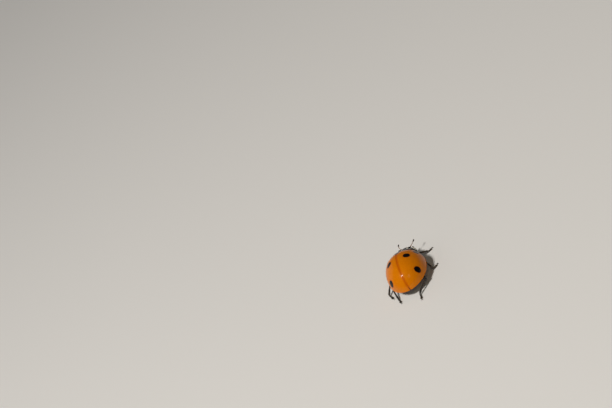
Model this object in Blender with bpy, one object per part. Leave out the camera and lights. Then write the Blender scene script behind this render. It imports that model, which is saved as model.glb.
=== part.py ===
"""A seven-spot ladybird, life size, walking on a flat floor at z = 0 and facing -Y.

Lengths are written in millimetres and turned into metres where a mesh or a place is made.
The shell plates are worked out in the body's own frame: its origin lies on the mid-line,
level with the rim of the wing cases, where the beetle is widest. The beetle's left is +X.
"""

import math

import bmesh
import bpy
from mathutils import Matrix, Vector

MM = 0.001

# The dome of the two wing cases (elytra)
DOME_HALF_WIDTH = 2.70
DOME_HEIGHT = 2.65
DOME_REAR = 3.35  # from the widest point back to the apex
DOME_CREST_FRONT = 3.05  # where the mid-line would come down to the rim in front
SHOULDER_REACH = 2.60
SHOULDER_SQUARENESS = 2.6
BASE_Y = -2.42
SHELL = 0.50
LIP_WIDTH = 0.07
LIP_HEIGHT = 0.14
SUTURE_GAP = 0.03
APEX_NOTCH = 0.05  # how far each wing case's inner corner draws back from the mid-line
APEX_NOTCH_LENGTH = 0.4

# The shield over the front of the thorax (pronotum)
SHIELD_REAR = -2.10
SHIELD_LENGTH = 1.42
SHIELD_HALF_WIDTH = 1.78
SHIELD_BOW = 0.30  # its corners lie this far in front of its middle
SHIELD_REAR_HEIGHT = 1.84
SHIELD_DROP = 1.22
SHIELD_ROUNDNESS = 1.5
SHIELD_EDGE = 0.15
SHIELD_UNDERSIDE = 0.03

# The body below
CORE_FRONT = -2.0
WAIST = 0.95
CORE_REAR = 3.10
BELLY_DEPTH = 0.40
VENTRITES = 5
VENTRITE_STEP = 0.035

# The head
HEAD_CENTRE = (0.0, -3.62, 0.12)
HEAD_SIZE = (0.80, 0.66, 0.44)
HEAD_TILT = math.radians(34)
EYE_CENTRE = (0.70, -3.70, 0.26)
EYE_SIZE = (0.25, 0.27, 0.32)

# Its feelers and mouth
ANTENNA_RADIUS = 0.21
ANTENNA_STEPS = 9
CLUB_RADIUS = 0.26
CLUB_PLACE = 0.80
MOUTH_CENTRE = (0.0, -4.14, -0.34)
MOUTH_SIZE = (0.36, 0.24, 0.22)

# The front of the thorax is turned to the beetle's right and raised, and the head turns further
SHIELD_HINGE = (0.0, -2.06, 1.60)
SHIELD_TURN = math.radians(10)
SHIELD_RAISE = math.radians(6)
HEAD_HINGE = (0.0, -3.20, 0.40)
HEAD_TURN = math.radians(5)
HEAD_RAISE = math.radians(8)

# Standing
RIM_HEIGHT = 1.20  # the wing cases' rim above the floor
FLOOR = -RIM_HEIGHT
CENTRING = (0.078, 0.352)  # puts the middle of the whole beetle, legs and all, over the origin

CLEARANCE = 0.03  # between neighbouring plates and segments
COXA_REACH = 0.46
COXA_RADIUS = 0.32
FEMUR_RADIUS = 0.27
KNEE_RADIUS = 0.21
TIBIA_RADIUS = 0.24
ANKLE_RADIUS = 0.20
FOOT_RADIUS = 0.24
FOOT_PROFILE = ((0.0, 0.35), (0.05, 0.6), (0.25, 0.8), (0.5, 1.0), (0.72, 1.0), (0.88, 0.72), (1.0, 0.34))

# Each leg: hip socket, knee, ankle and the tip of the foot
LEGS = {
    "fore_left": ((0.50, -2.62, -0.48), (1.55, -3.28, -0.28), (1.80, -4.32, -0.94), (1.98, -5.16, FLOOR)),
    "fore_right": ((-0.50, -2.62, -0.48), (-1.72, -3.02, -0.28), (-2.70, -3.40, -0.94), (-3.36, -3.92, FLOOR)),
    "mid_left": ((0.75, -0.72, -0.54), (2.76, -0.32, -0.35), (3.38, 0.82, -0.94), (2.85, 1.85, FLOOR)),
    "mid_right": ((-0.75, -0.72, -0.54), (-2.46, -0.66, -0.35), (-3.02, 0.34, -0.94), (-3.66, -0.40, FLOOR)),
    "hind_left": ((0.85, 0.82, -0.54), (2.60, 0.62, -0.40), (2.24, 2.42, -0.94), (1.96, 3.38, FLOOR)),
    "hind_right": ((-0.85, 0.82, -0.54), (-2.13, 2.16, -0.36), (-0.70, 3.58, -0.94), (-0.78, 4.74, FLOOR)),
}

COLOURS = {  # base colour, roughness
    "orange_shell": ((0.62, 0.17, 0.01), 0.22),
    "black_shell": ((0.012, 0.011, 0.012), 0.25),
    "black_leg": ((0.014, 0.012, 0.011), 0.38),
    "eye": ((0.008, 0.008, 0.010), 0.18),
    "brown_feeler": ((0.16, 0.065, 0.02), 0.45),
    "dark_mouth": ((0.05, 0.025, 0.012), 0.40),
}


# ---- scene, materials and shared shapes ----


def clear_scene():
    for obj in list(bpy.data.objects):
        bpy.data.objects.remove(obj)


def collection(name, shown=True):
    made = bpy.data.collections.new(name)
    made.hide_render = not shown
    bpy.context.scene.collection.children.link(made)
    return made


def shell_material(name):
    colour, roughness = COLOURS[name]
    material = bpy.data.materials.new(name)
    material.use_nodes = True
    shader = material.node_tree.nodes["Principled BSDF"]
    shader.inputs["Base Color"].default_value = (*colour, 1)
    shader.inputs["Roughness"].default_value = roughness
    shader.inputs["Metallic"].default_value = 0
    shader.inputs["Coat Weight"].default_value = 0.3
    return material


def turned_frame(name, parent, hinge, turn, lift):
    """An empty whose children, placed in the body's frame, are turned and raised at a hinge."""
    frame = bpy.data.objects.new(name, None)
    about = Matrix.Translation(Vector(hinge) * MM)
    rotation = Matrix.Rotation(-turn, 4, "Z") @ Matrix.Rotation(-lift, 4, "X")
    frame.matrix_local = about @ rotation @ about.inverted()
    frame.parent = parent
    parts.objects.link(frame)
    return frame


def add(obj, material=None):
    """Puts an object in its frame: a part, or a hidden cutter if it has no material."""
    if material is None:
        cutters.objects.link(obj)
        obj.hide_render = True
        obj.display_type = "WIRE"
    else:
        parts.objects.link(obj)
        obj.data.materials.append(materials[material])
    obj.parent = FRAME_OF.get(obj.name, body)
    return obj


def mesh_object(name, bm, material=None):
    """A smooth-shaded object from a bmesh drawn in millimetres."""
    bmesh.ops.scale(bm, vec=(MM, MM, MM), verts=bm.verts)
    bmesh.ops.recalc_face_normals(bm, faces=bm.faces)
    mesh = bpy.data.meshes.new(name)
    bm.to_mesh(mesh)
    bm.free()
    mesh.shade_smooth()
    mesh.set_sharp_from_angle(angle=math.radians(40))
    return add(bpy.data.objects.new(name, mesh), material)


def loft(name, rings, material=None):
    """Joins rings of equally many points with faces.

    The first and last ring are closed by strips from the ring's one half across to the other.
    """
    bm = bmesh.new()
    loops = [[bm.verts.new(point) for point in ring] for ring in rings]
    for ring, following in zip(loops, loops[1:]):
        for i in range(len(ring)):
            j = (i + 1) % len(ring)
            bm.faces.new((ring[i], ring[j], following[j], following[i]))
    for ring in (loops[0], loops[-1]):
        for i in range(len(ring) // 2 - 1):
            bm.faces.new((ring[i], ring[i + 1], ring[-2 - i], ring[-1 - i]))
    return mesh_object(name, bm, material)


def ellipsoid(name, centre, size, material=None, tilt=0.0, grow=0.0, segments=16, heading=0.0):
    """A ball of the given half-sizes, tipped about X by tilt and turned about Z by heading."""
    bm = bmesh.new()
    bmesh.ops.create_uvsphere(bm, u_segments=segments, v_segments=segments // 2, radius=1)
    bmesh.ops.scale(bm, vec=[half + grow for half in size], verts=bm.verts)
    obj = mesh_object(name, bm, material)
    obj.location = Vector(centre) * MM
    obj.rotation_euler = (tilt, 0, heading)
    return obj


def cut(obj, *cutting):
    for cutter in cutting:
        modifier = obj.modifiers.new(f"cut_{cutter.name}", "BOOLEAN")
        modifier.operation = "DIFFERENCE"
        modifier.solver = "EXACT"
        modifier.object = cutter


def tube(name, points, radii, material, sides=8):
    """A closed round tube through the points, with a radius of its own at each."""
    curve = bpy.data.curves.new(name, "CURVE")
    curve.dimensions = "3D"
    curve.bevel_depth = MM
    curve.bevel_resolution = sides // 2 - 2
    curve.use_fill_caps = True
    spline = curve.splines.new("POLY")
    spline.points.add(len(points) - 1)
    for knot, point, radius in zip(spline.points, points, radii):
        knot.co = (*(Vector(point) * MM), 1)
        knot.radius = radius
    return add(bpy.data.objects.new(name, curve), material)


def limb(name, start, joint, neck, thickest, ball, material):
    """A limb segment: a narrow neck, a swelling and a ball centred on the next joint."""
    reach = joint - start
    along = reach.normalized()
    profile = [(0.0, 0.55 * neck), (0.05, neck), (0.3 * reach.length, 0.9 * thickest)]
    profile += [(0.62 * reach.length, thickest), (reach.length, ball)]
    profile += [(reach.length + ball * math.sin(a), ball * math.cos(a)) for a in (0.6, 1.1, 1.4)]
    points = [start + along * distance for distance, radius in profile]
    return tube(name, points, [radius for distance, radius in profile], material)


# ---- wing cases ----


def crest(y):
    """Height of the dome's mid-line above the rim."""
    reach = DOME_REAR if y > 0 else DOME_CREST_FRONT
    return DOME_HEIGHT * math.sqrt(max(0.0, 1 - (y / reach) ** 2))


def half_width(y):
    """Half the dome's width at the rim: an ellipse behind, squarer shoulders in front."""
    if y > 0:
        return DOME_HALF_WIDTH * math.sqrt(max(0.0, 1 - (y / DOME_REAR) ** 2))
    closing = (-y / SHOULDER_REACH) ** SHOULDER_SQUARENESS
    return DOME_HALF_WIDTH * max(0.0, 1 - closing) ** (1 / SHOULDER_SQUARENESS)


def dome_stations(front_steps=7, rear_steps=13, last=math.radians(86)):
    """Places along Y for the sections, closer together where the outline turns in."""
    front = [BASE_Y * (1 - i / front_steps) ** 0.85 for i in range(front_steps)]
    rear = [DOME_REAR * math.sin(last * i / rear_steps) for i in range(rear_steps + 1)]
    return front + rear


def suture_x(y):
    """Where a wing case's inner edge runs: beside the mid-line, drawing back at the apex."""
    open_share = max(0.0, 1 - (DOME_REAR - y) / APEX_NOTCH_LENGTH)
    return min(SUTURE_GAP / 2 + APEX_NOTCH * open_share**2, 0.3 * half_width(y))


def elytron_section(y, side, arc_steps=12):
    """One cross-section: outer arc down to the lip, under the rim, inner arc back up."""
    width, height, inner_edge = half_width(y), crest(y), suture_x(y)
    lip = min(LIP_WIDTH, 0.3 * width)
    lip_top = min(LIP_HEIGHT, 0.3 * height)
    inner_width = max(width - SHELL, 0.5 * width)
    inner_height = max(height - SHELL, 0.0)
    section = []
    for i in range(arc_steps + 1):
        angle = math.pi / 2 * i / arc_steps
        across = inner_edge + (width - lip - inner_edge) * math.sin(angle)
        section.append((side * across, y, lip_top + (height - lip_top) * math.cos(angle)))
    section += [(side * width, y, 0.6 * lip_top), (side * width, y, 0.0)]
    for i in range(arc_steps + 1):
        angle = math.pi / 2 * (1 - i / arc_steps)
        across = inner_edge + (inner_width - inner_edge) * math.sin(angle)
        section.append((side * across, y, inner_height * math.cos(angle)))
    return section


def elytron(name, side, scutellum_cutter, shield_cutter):
    sections = [elytron_section(y, side) for y in dome_stations()]
    wing_case = loft(name, sections, "orange_shell")
    cut(wing_case, shield_cutter, scutellum_cutter)


# ---- pronotum and scutellum ----


def shield_section(share, grow=0.0, rise=0.0, arc_steps=14):
    """A cross-section of the pronotum: share runs from 0 at its rear margin to 1 in front."""
    width = SHIELD_HALF_WIDTH * (0.97 + 0.16 * share - 0.46 * share**2) + grow
    height = SHIELD_REAR_HEIGHT - SHIELD_DROP * max(0, share) ** SHIELD_ROUNDNESS + grow + rise
    y = SHIELD_REAR - SHIELD_LENGTH * share
    upper, under = [], []
    for i in range(arc_steps + 1):
        angle = math.pi * (i / arc_steps - 0.5)
        across = math.sin(angle)
        bowed = y - SHIELD_BOW * across**2
        upper.append((width * across, bowed, SHIELD_EDGE + (height - SHIELD_EDGE) * math.cos(angle)))
        under.append((0.98 * width * across, bowed, SHIELD_UNDERSIDE - grow - rise))
    return upper + under[::-1]


def pronotum(head_cutters):
    shares = [0.0, 0.04, 0.15, 0.3, 0.45, 0.6, 0.75, 0.88, 0.97, 1.0]
    shield = loft("pronotum", [shield_section(share) for share in shares], "black_shell")
    cut(shield, *head_cutters)


def shield_cutter():
    """The pronotum grown by the clearance, and tall enough to cut through the wing cases."""
    behind = -CLEARANCE / SHIELD_LENGTH
    return loft(
        "shield_cutter",
        [shield_section(share, CLEARANCE, 0.6) for share in (behind, 0.1, 0.4)],
    )


def scutellum(name, grow=0.0, material=None):
    """The small black triangle between the wing cases' bases, lying along the dome's slope."""
    length, depth, middle = 0.42, 0.40, -1.90
    bm = bmesh.new()
    bmesh.ops.create_cone(
        bm, segments=3, radius1=length / 1.5 + 2 * grow, radius2=length / 1.5 + 2 * grow,
        depth=depth + 2 * grow, cap_ends=True,
    )
    bmesh.ops.scale(bm, vec=(0.82, 1, 1), verts=bm.verts)
    plate = mesh_object(name, bm, material)
    slope = math.atan2(crest(middle + 0.1) - crest(middle - 0.1), 0.2)
    plate.rotation_euler = (slope, 0, 0)
    top = Vector((0, middle, crest(middle)))
    inward = Vector((0, math.sin(slope), -math.cos(slope)))
    plate.location = (top + inward * (depth / 2 - 0.02)) * MM
    return plate


# ---- thorax and abdomen ----


def core_section(y, belly, arc_steps=10):
    """A cross-section of the body under the wing cases, round above and gently so below."""
    room = SHELL + CLEARANCE
    width, height = half_width(y) - room, crest(y) - room
    section = []
    for i in range(arc_steps + 1):
        angle = math.pi * (i / arc_steps - 0.5)
        section.append((width * math.sin(angle), y, max(height, 0.05) * math.cos(angle)))
    for i in range(1, arc_steps):
        across = math.cos(math.pi * i / arc_steps)
        section.append((width * across, y, -belly * (1 - across**2)))
    return section


def thorax(sockets):
    steps = 9
    stations = [CORE_FRONT + (WAIST - CLEARANCE - CORE_FRONT) * i / steps for i in range(steps + 1)]
    core = loft("thorax", [core_section(y, BELLY_DEPTH) for y in stations], "black_shell")
    cut(core, *sockets)


def abdomen(sockets):
    """Five ventrites, each with its rear edge standing a little over the next."""
    sections = []
    for plate in range(VENTRITES):
        for share in (0.0, 0.5, 0.97):
            along = (plate + share) / VENTRITES
            y = WAIST + (CORE_REAR - WAIST) * along
            taper = BELLY_DEPTH * (1 - 0.62 * along**2)
            sections.append(core_section(y, taper - VENTRITE_STEP * (1 - share)))
    core = loft("abdomen", sections, "black_shell")
    cut(core, *sockets)


def prosternum(sockets):
    """The underside of the first thorax segment, hung below the shield between the fore legs."""
    bm = bmesh.new()
    bmesh.ops.create_uvsphere(bm, u_segments=24, v_segments=12, radius=1)
    bmesh.ops.bisect_plane(
        bm, geom=[*bm.verts, *bm.edges, *bm.faces],
        plane_co=(0, 0, 0), plane_no=(0, 0, 1), clear_outer=True,
    )
    bmesh.ops.holes_fill(bm, edges=bm.edges)
    bmesh.ops.scale(bm, vec=(1.30, 0.62, 0.40), verts=bm.verts)
    plate = mesh_object("prosternum", bm, "black_shell")
    plate.location = Vector((0, -2.66, SHIELD_UNDERSIDE - CLEARANCE)) * MM
    cut(plate, *sockets)


# ---- head ----


def head(eye_cutters):
    skull = ellipsoid("head", HEAD_CENTRE, HEAD_SIZE, "black_shell", HEAD_TILT, segments=24)
    cut(skull, *eye_cutters)


def mouthparts(head_cutter):
    """Upper lip and jaws, closed in one rounded wedge under the front of the head."""
    jaws = ellipsoid("mouthparts", MOUTH_CENTRE, MOUTH_SIZE, "dark_mouth", HEAD_TILT, segments=16)
    cut(jaws, head_cutter)


def eye_place(side):
    x, y, z = EYE_CENTRE
    return side * x, y, z


def antenna(name, side):
    """A short feeler that bends forward from beside the eye and ends in a club."""
    root, bend, tip = Vector((0.56, -4.18, -0.02)), Vector((1.05, -4.34, 0.30)), Vector((1.12, -5.10, 0.12))
    points, radii = [], []
    for i in range(ANTENNA_STEPS + 1):
        t = i / ANTENNA_STEPS
        point = root * (1 - t) ** 2 + bend * 2 * t * (1 - t) + tip * t**2
        points.append((side * point.x, point.y, point.z))
        club = math.exp(-(((t - CLUB_PLACE) / 0.16) ** 2))
        radii.append(ANTENNA_RADIUS + (CLUB_RADIUS - ANTENNA_RADIUS) * club)
    radii[0] *= 0.6
    radii[-1] *= 0.5
    tube(name, points, radii, "brown_feeler")


def palp(name, side):
    """A jointed mouth feeler whose last segment is broad and blunt like a hatchet."""
    points = ((0.40, -4.22, -0.42), (0.49, -4.34, -0.49), (0.60, -4.50, -0.56), (0.67, -4.62, -0.61))
    tube(name, [(side * x, y, z) for x, y, z in points], (0.11, 0.18, 0.25, 0.20), "dark_mouth")


# ---- legs ----


def coxa(name, joints, material=None, grow=0.0):
    """The leg's first piece: a plump oval, half sunk in the underside, in line with the thigh."""
    hip, knee = Vector(joints[0]), Vector(joints[1])
    heading = math.atan2(knee.y - hip.y, knee.x - hip.x)
    size = (COXA_REACH, COXA_RADIUS, COXA_RADIUS)
    return ellipsoid(name, hip, size, material, 0, grow, 14, heading)


def foot(name, ankle, tip):
    """The foot's joints as one pad: it comes down to the floor, lies flat there and narrows."""
    out = (tip - ankle).normalized()
    start = ankle + out * (ANKLE_RADIUS + CLEARANCE)
    sole_line = FLOOR + 0.72 * FOOT_RADIUS
    points, radii = [], []
    for share, fullness in FOOT_PROFILE:
        point = start.lerp(tip, share)
        point.z = start.z + (sole_line - start.z) * min(1, share / 0.5)
        points.append(point)
        radii.append(FOOT_RADIUS * fullness)
    line = tube(f"{name}_line", points, radii, "black_leg")
    graph = bpy.context.evaluated_depsgraph_get()
    bm = bmesh.new()
    bm.from_mesh(bpy.data.meshes.new_from_object(line.evaluated_get(graph)))
    bpy.data.objects.remove(line)
    bmesh.ops.remove_doubles(bm, verts=bm.verts, dist=1e-7)
    bmesh.ops.scale(bm, vec=(1 / MM, 1 / MM, 1 / MM), verts=bm.verts)
    for vertex in bm.verts:
        vertex.co.z = max(vertex.co.z, FLOOR)
    mesh_object(name, bm, "black_leg")


def leg(name, joints):
    hip, knee, ankle, tip = (Vector(joint) for joint in joints)
    thigh, shin = (knee - hip).normalized(), (ankle - knee).normalized()
    coxa(f"{name}_coxa", joints, "black_leg")
    limb(f"{name}_femur", hip + thigh * (COXA_REACH + CLEARANCE), knee,
         0.18, FEMUR_RADIUS, KNEE_RADIUS, "black_leg")
    limb(f"{name}_tibia", knee + shin * (KNEE_RADIUS + CLEARANCE), ankle,
         0.15, TIBIA_RADIUS, ANKLE_RADIUS, "black_leg")
    foot(f"{name}_tarsus", ankle, tip)


# ---- the beetle put together ----

clear_scene()
parts = collection("ladybird")
cutters = collection("cutters", shown=False)
materials = {name: shell_material(name) for name in COLOURS}
body = bpy.data.objects.new("body_frame", None)
body.location = Vector((*CENTRING, RIM_HEIGHT)) * MM
parts.objects.link(body)
fore_thorax = turned_frame("fore_thorax_frame", body, SHIELD_HINGE, SHIELD_TURN, SHIELD_RAISE)
face = turned_frame("face_frame", fore_thorax, HEAD_HINGE, HEAD_TURN, HEAD_RAISE)
FRAME_OF = dict.fromkeys(("pronotum", "shield_cutter", "prosternum"), fore_thorax)
FRAME_OF.update(dict.fromkeys(
    ("head", "head_socket", "mouthparts", "eye_left", "eye_right", "eye_socket_left",
     "eye_socket_right", "antenna_left", "antenna_right", "palp_left", "palp_right"),
    face,
))

SIDES = {"left": 1, "right": -1}
coxa_sockets = {
    name: coxa(f"{name}_socket", joints, grow=CLEARANCE)
    for name, joints in LEGS.items()
}
eye_sockets = [
    ellipsoid(f"eye_socket_{side}", eye_place(sign), EYE_SIZE, grow=CLEARANCE)
    for side, sign in SIDES.items()
]
head_socket = ellipsoid("head_socket", HEAD_CENTRE, HEAD_SIZE, None, HEAD_TILT, CLEARANCE, 24)
scutellum_socket = scutellum("scutellum_socket", grow=CLEARANCE)
shield_space = shield_cutter()

for side, sign in SIDES.items():
    elytron(f"elytron_{side}", sign, scutellum_socket, shield_space)
    ellipsoid(f"eye_{side}", eye_place(sign), EYE_SIZE, "eye")
    antenna(f"antenna_{side}", sign)
    palp(f"palp_{side}", sign)
scutellum("scutellum", material="black_shell")
pronotum([head_socket, *eye_sockets])
head(eye_sockets)
mouthparts(head_socket)
prosternum([coxa_sockets["fore_left"], coxa_sockets["fore_right"], head_socket])
thorax([coxa_sockets[name] for name in LEGS])
abdomen([coxa_sockets["hind_left"], coxa_sockets["hind_right"]])
for name, joints in LEGS.items():
    leg(name, joints)
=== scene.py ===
"""The finish of a life-size seven-spot ladybird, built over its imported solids.

Shapes are worked out in the beetle's own millimetres: +Z up, head towards -Y, its left at +X.
"""

import math

import bmesh
import bpy
import numpy as np
from mathutils import Matrix, Quaternion, Vector, kdtree


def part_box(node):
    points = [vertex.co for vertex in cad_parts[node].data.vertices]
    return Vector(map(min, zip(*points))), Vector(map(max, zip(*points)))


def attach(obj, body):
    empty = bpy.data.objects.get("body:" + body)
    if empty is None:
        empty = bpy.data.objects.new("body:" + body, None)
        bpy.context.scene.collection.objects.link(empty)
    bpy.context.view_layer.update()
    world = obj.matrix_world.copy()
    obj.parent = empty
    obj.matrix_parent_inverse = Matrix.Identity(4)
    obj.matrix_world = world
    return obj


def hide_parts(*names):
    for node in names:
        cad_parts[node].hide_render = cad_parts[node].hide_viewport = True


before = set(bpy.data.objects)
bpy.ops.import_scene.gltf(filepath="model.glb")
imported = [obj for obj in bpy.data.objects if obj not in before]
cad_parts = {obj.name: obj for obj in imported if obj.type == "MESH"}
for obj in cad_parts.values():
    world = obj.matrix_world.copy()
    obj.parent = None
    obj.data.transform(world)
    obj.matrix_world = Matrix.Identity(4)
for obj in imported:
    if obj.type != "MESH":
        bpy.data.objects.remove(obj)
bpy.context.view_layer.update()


# ---- Where the beetle stands ----
# Its own frame starts on the mid-line, level with the rim of the wing cases and at their widest
# place. The wing cases' solids give that point: their rims, their inner edges and their tips.

MM = 0.001
DOME_HALF_WIDTH, DOME_HEIGHT, DOME_REAR = 2.70, 2.65, 3.35
SOLIDS_END = math.radians(86)  # how far round the dome, from its widest place, their last row is

left_low, left_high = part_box("elytron_left")
right_low, right_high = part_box("elytron_right")
body_origin = Vector(((left_low.x + right_high.x) / 2, left_high.y, left_low.z)) / MM
body_origin.y -= DOME_REAR * math.sin(SOLIDS_END)
FLOOR = -body_origin.z


# ---- View, floor and light ----
# A pale floor with no seam, and a camera above and behind the beetle's right side, rolled so that
# the beetle leans to the left of a wide frame. Two soft lamps stand behind it on either side of the
# camera, two broad ones stand low on its left, and the room's white walls fill the rest.

LENS, SENSOR, FRAME_WIDTH = 100.0, 36.0, 74.351  # millimetres, the last one at the beetle
AIM_RIGHT, AIM_UP = 0.16653, -0.11302  # the beetle's place in the frame, in frame widths
AZIMUTH, ELEVATION, ROLL = math.radians(198.006), math.radians(33.408), math.radians(-39.46)
LAMPS = (  # name, azimuth, elevation, metres away, metres wide, watts, colour, whether it is mirrored
    ("key_lamp", 148.2, 60.2, 0.40, 0.065, 1.15, (1.0, 0.97, 0.93), True),
    ("side_lamp", 208.4, 43.4, 0.60, 0.17, 0.20, (1.0, 0.86, 0.50), True),
    ("front_lamp", 60.0, 14.0, 0.70, 0.60, 0.50, (0.97, 0.98, 1.0), True),
    ("low_lamp", 130.0, 8.0, 0.70, 0.90, 0.80, (1.0, 0.97, 0.92), False),
)
WALLS_LIGHT, WALLS_SEEN = 0.07, 0.60  # what the far walls light the beetle with, and how they look
FLOOR_REACH = 3.0


def towards(azimuth, elevation):
    """A direction from the beetle; azimuth 0 is straight ahead of its face."""
    flat = math.cos(elevation)
    return Vector((math.sin(azimuth) * flat, -math.cos(azimuth) * flat, math.sin(elevation)))


def new_object(name, data):
    """A new object in the scene."""
    made = bpy.data.objects.new(name, data)
    bpy.context.scene.collection.objects.link(made)
    return made


def fill(made, values):
    """Fills a node's inputs: a socket is linked to, and anything else is set."""
    for key, value in values.items():
        if isinstance(value, bpy.types.NodeSocket):
            made.id_data.links.new(value, made.inputs[key])
        else:
            made.inputs[key].default_value = value


def node(kind, values, **settings):
    """Adds a node beside the ones that its inputs come from, with its own settings."""
    sources = [value for value in values.values() if isinstance(value, bpy.types.NodeSocket)]
    made = sources[0].id_data.nodes.new(kind)
    for key, value in settings.items():
        setattr(made, key, value)
    fill(made, values)
    return made


camera = new_object("camera", bpy.data.cameras.new("camera"))
camera.data.lens, camera.data.sensor_width = LENS, SENSOR
camera.data.clip_start, camera.data.clip_end = 0.002, 10.0
ray = Vector((AIM_RIGHT * SENSOR / LENS, AIM_UP * SENSOR / LENS, -1.0))
back = towards(AZIMUTH, ELEVATION)
level = (-back).to_track_quat("-Z", "Y") @ Quaternion((0, 0, 1), ROLL)
camera.rotation_mode = "QUATERNION"
camera.rotation_quaternion = level @ ray.rotation_difference(Vector((0, 0, -1)))
camera.location = body_origin * MM + back * (FRAME_WIDTH * MM * LENS / SENSOR * ray.length)
bpy.context.scene.camera = camera
bpy.context.scene.view_settings.view_transform = "Standard"

for name, azimuth, elevation, distance, size, watts, colour, mirrored in LAMPS:
    light = bpy.data.lights.new(name, "AREA")
    light.shape, light.size, light.energy, light.color = "DISK", size, watts, colour
    stand = new_object(name, light)
    aim = towards(math.radians(azimuth), math.radians(elevation))
    stand.location = body_origin * MM + aim * distance
    stand.rotation_euler = aim.to_track_quat("Z", "Y").to_euler()
    stand.visible_glossy = mirrored

room = bpy.data.worlds.new("white_room")
room.use_nodes = True
seen = room.node_tree.nodes.new("ShaderNodeLightPath").outputs["Is Camera Ray"]
brightness = node("ShaderNodeMapRange", {"Value": seen, "To Min": WALLS_LIGHT, "To Max": WALLS_SEEN})
walls = {"Color": (0.97, 0.97, 1.0, 1), "Strength": brightness.outputs["Result"]}
fill(room.node_tree.nodes["Background"], walls)
bpy.context.scene.world = room

corners = [(x * FLOOR_REACH, y * FLOOR_REACH, 0) for x, y in ((-1, -1), (1, -1), (1, 1), (-1, 1))]
floor_mesh = bpy.data.meshes.new("floor")
floor_mesh.from_pydata(corners, [], [(0, 1, 2, 3)])
floor = new_object("floor", floor_mesh)
paper = bpy.data.materials.new("pale_paper")
paper.use_nodes = True
finish = {"Base Color": (0.80, 0.785, 0.76, 1), "Roughness": 0.85}
fill(paper.node_tree.nodes["Principled BSDF"], finish)
floor_mesh.materials.append(paper)


# ---- Wing cases ----
# Two hardened fore wings of thin horn (elytra) that meet along the middle and make one dome. Waxy
# orange with black spots, they have a narrow turned-up margin, and their rims fold under to meet
# the belly. Each is hinged only at its front corner, under the pronotum's hind edge.

CREST_REACH, SHOULDER_REACH, SHOULDER_SQUARENESS = 3.05, 2.60, 2.6
SHIELD_REAR, SHIELD_HALF_WIDTH, SHIELD_BOW = -2.10, 1.78, 0.30  # the pronotum's hind margin
WAIST_HINGE = ((0.0, -2.06, 1.60), math.radians(10), math.radians(6))  # place, turn and lift
TUCK = 0.01  # how far a wing case reaches in under the pronotum
HORN = 0.12
SLIM_FROM = 1.1  # the half-width below which every edge grows thinner towards the tips
SEAM_GAP, SEAM_DEPTH, SEAM_SOFTNESS = 0.006, 0.014, 0.024
NOTCH_LENGTH, NOTCH_WIDTH = 0.10, 0.050  # where the tips part at the seam's rear end
MARGIN, MARGIN_RISE = 0.05, 0.11
MARGIN_TURN = (  # outwards and up from the widest line: over the margin, round it and under
    (-0.044, 0.088), (-0.036, 0.072), (-0.020, 0.066), (-0.006, 0.060),
    (0.0, 0.044), (-0.002, 0.026), (-0.012, 0.010), (-0.034, 0.002),
)
FOLD_SHARES = (0.2, 0.4, 0.6, 0.8, 0.93)
FOLD_WIDTH, FOLD_NARROWING, FOLD_RISE, FOLD_REAR = 0.50, 0.30, 0.075, 3.2
SHOULDER_KNOB = (1.62, -1.62)
SIDES = (("left", 1), ("right", -1))
SEAM_ANGLES = (0, 0.25, 0.55, 0.95, 1.5, 2.4, 3.8)
CROWDING = 1.15  # rows in front of the widest place stand closer towards it
BASE_ROLL, BASE_DROP, BASE_ROWS = 0.045, 0.10, 6  # the front edge rolls under over this share
COLUMNS, FRONT_ROWS, REAR_ROWS, LAST_TURN = 66, 34, 62, 88.6


def points_at(x, y, z):
    """Points from their coordinates; single numbers are repeated."""
    return np.stack(np.broadcast_arrays(x, y, z), axis=-1)


def crest(y):
    """Height of the dome's mid-line above the rim."""
    reach = np.where(np.asarray(y) > 0, DOME_REAR, CREST_REACH)
    return DOME_HEIGHT * np.sqrt(np.clip(1 - (y / reach) ** 2, 0, 1))


def half_width(y):
    """Half the dome's width at the rim: an ellipse behind, squarer shoulders in front."""
    rear = np.sqrt(np.clip(1 - (y / DOME_REAR) ** 2, 0, 1))
    closing = np.clip(-np.asarray(y) / SHOULDER_REACH, 0, 1) ** SHOULDER_SQUARENESS
    return DOME_HALF_WIDTH * np.where(np.asarray(y) > 0, rear, (1 - closing) ** (1 / SHOULDER_SQUARENESS))


def on_dome(x, y):
    """The point of the dome above a place in plan."""
    return Vector((x, y, float(crest(y)) * math.sqrt(max(0.0, 1 - (x / float(half_width(y))) ** 2))))


def shield_half_width(share):
    """Half the pronotum's width, from its hind margin at 0 to its front margin at 1."""
    return SHIELD_HALF_WIDTH * (0.97 + 0.16 * share - 0.46 * share**2)


def smooth_step(low, high, value):
    """Rises smoothly from 0 at low to 1 at high."""
    share = np.clip((value - low) / (high - low), 0, 1)
    return share * share * (3 - 2 * share)


def ridge(away, half_width=1.0):
    """A smooth swelling: 1 in its middle, and gone at about two half-widths away."""
    return np.exp(-((away / half_width) ** 2))


def slimness(y):
    """1 over most of the dome, and less where it narrows to the tips."""
    return np.minimum(1, half_width(y) / SLIM_FROM)


def rim_fold(y):
    """How far the rim of a wing case is folded under the dome."""
    return (FOLD_WIDTH - FOLD_NARROWING * smooth_step(0.0, FOLD_REAR, y)) * slimness(y)


def swing(turn, lift):
    """The turn of a hinge: to the beetle's right and up."""
    return np.array(Matrix.Rotation(-turn, 3, "Z") @ Matrix.Rotation(-lift, 3, "X"))


def turned(points, *hinges):
    """Swings points at the waist with the pronotum, or at the neck too."""
    points = np.asarray(points, dtype=float)
    for place, turn, lift in hinges:
        points = (points - place) @ swing(turn, lift).T + place
    return points


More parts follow.
